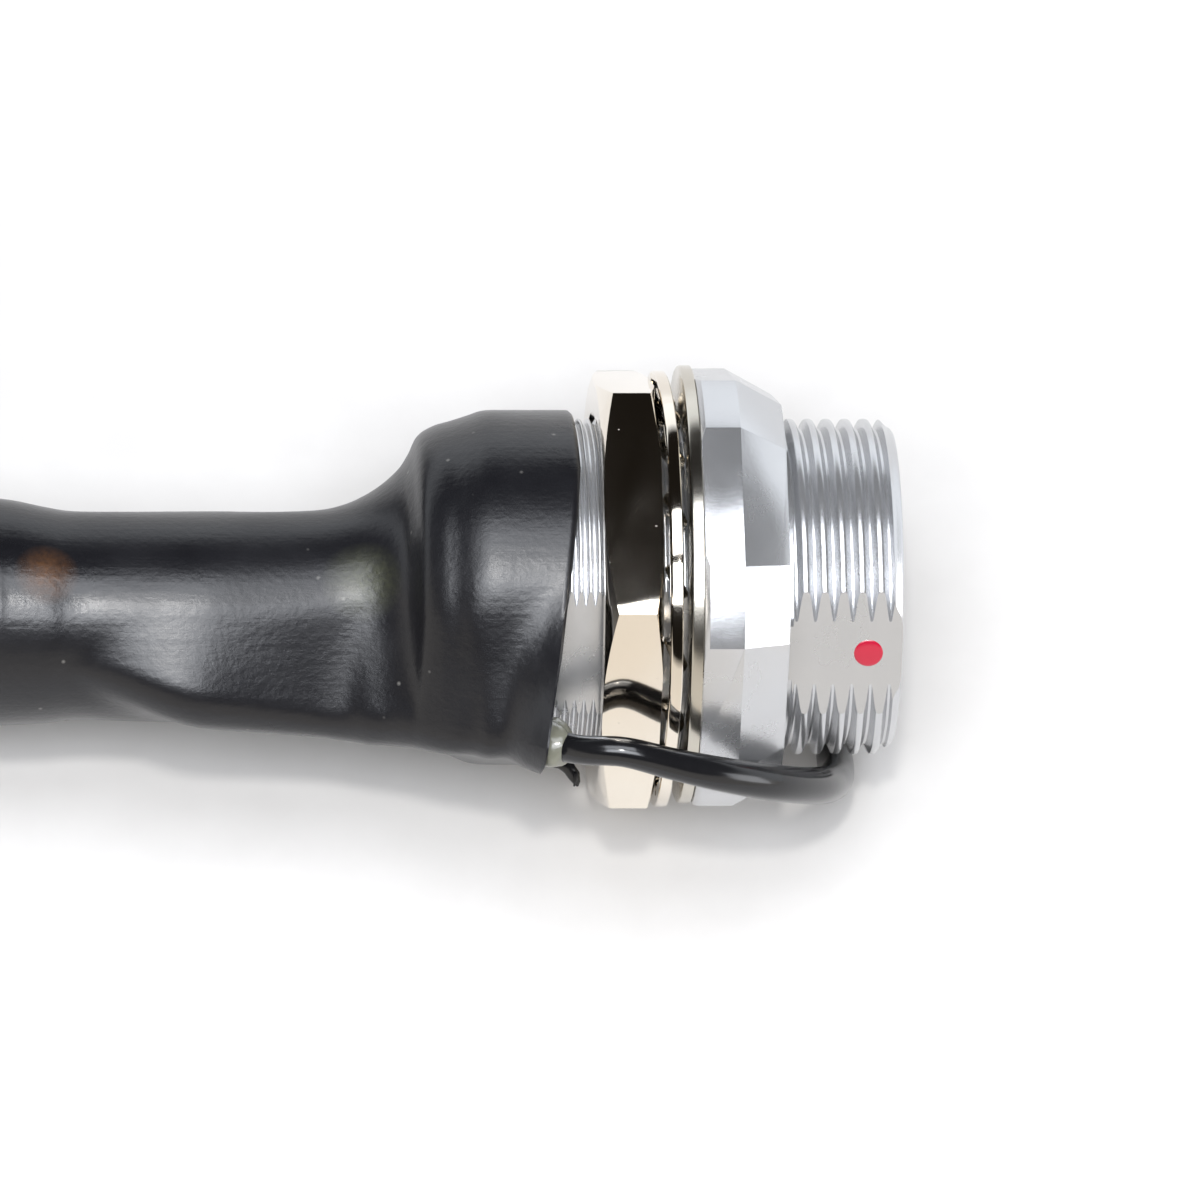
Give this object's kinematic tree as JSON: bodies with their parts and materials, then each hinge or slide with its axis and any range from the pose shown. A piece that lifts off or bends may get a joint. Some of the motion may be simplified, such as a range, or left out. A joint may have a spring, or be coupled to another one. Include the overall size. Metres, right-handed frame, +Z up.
{
  "type": "circular panel connector pigtail",
  "caption": "Circular panel-mount connector receptacle with hexagonal flange, nut and lock washer, shrink-sleeved to a screened cable with a cord loop and flying leads.",
  "frame": {"origin": "on the connector's axis, at the rear seating face of the hexagonal flange, where a panel sits", "axes": "+X along the connector's axis towards its mating face, +Z up from the surface that it lies on"},
  "size_m": [0.1765, 0.1362, 0.0235],
  "materials": {
    "satin_plate": "satin",
    "red_enamel": "semi-gloss",
    "seal_rubber": "matte",
    "gold_plate": "polished",
    "insulator_plastic": "satin",
    "nickel_plate": "polished",
    "wire_insulation": "semi-gloss",
    "tinned_copper": "satin",
    "jacket_rubber": "matte",
    "shrink_film": "satin",
    "hot_melt": "translucent gloss",
    "tether_plastic": "gloss",
    "tie_nylon": "satin"
  },
  "bodies": {
    "connector": {"shell": "satin_plate", "index_dot": "red_enamel", "socket_seal": "seal_rubber", "earthing_crown": "gold_plate", "front_insulator": "insulator_plastic", "rear_insulator": "insulator_plastic", "contacts": "gold_plate", "retaining_ring": "nickel_plate", "screen_ring": "nickel_plate", "clamp_collet": "nickel_plate", "clamp_nut": "nickel_plate", "conductors": "wire_insulation", "screened_core": "tinned_copper", "cable_jacket": "jacket_rubber", "shrink_sleeve": "shrink_film", "adhesive_lining": "hot_melt", "adhesive_bead": "hot_melt", "tether_loop": "tether_plastic", "cable_run": "jacket_rubber", "cable_coil": "jacket_rubber", "coil_tie": "tie_nylon", "end_sleeve": "shrink_film", "lead_wires": "wire_insulation", "wire_ferrules": "tinned_copper"},
    "washers": {"flat_washer": "nickel_plate", "lock_washer": "nickel_plate"},
    "nut": {"hex_nut": "nickel_plate"}
  },
  "joints": [
    {"name": "nut_travel", "type": "slide", "parent": "connector", "child": "washers", "axis": [-1, 0, 0], "range_m": [0, 0.00075]},
    {"name": "nut_turn", "type": "hinge", "parent": "washers", "child": "nut", "pos_m": [-0.0038, 0, 0], "axis": [-1, 0, 0], "range_deg": [0, 540]}
  ],
  "couplings": [
    {"joint": "nut_travel", "follows": "nut_turn", "m_per_rad": 0.000079577}
  ]
}
